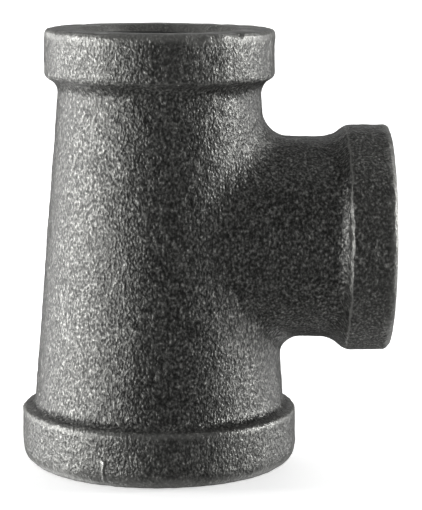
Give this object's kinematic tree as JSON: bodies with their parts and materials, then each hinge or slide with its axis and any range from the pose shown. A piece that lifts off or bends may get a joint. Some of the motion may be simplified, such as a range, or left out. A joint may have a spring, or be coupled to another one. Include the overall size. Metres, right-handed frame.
{
  "type": "reducing tee pipe fitting",
  "caption": "Black malleable iron reducing tee with banded ends: a wide run end at the bottom, a narrower run end on top and a side branch, each with a tapered internal pipe thread.",
  "frame": {"origin": "middle of the bounding box in X and Y, at the height of the large end's face, which the part stands on; the run's axis is parallel to Z at X = -6.1 mm", "axes": "+Z along the run, from the large end to the small end; +X along the branch, out of its mouth"},
  "size_m": [0.0492, 0.037, 0.0584],
  "materials": {
    "cast_iron": "black sand-cast skin with a fine grain and a low sheen; end faces, mouth chamfers and threads are machined and oiled"
  },
  "bodies": {
    "root": {"tee_casting": "cast_iron"}
  },
  "joints": []
}
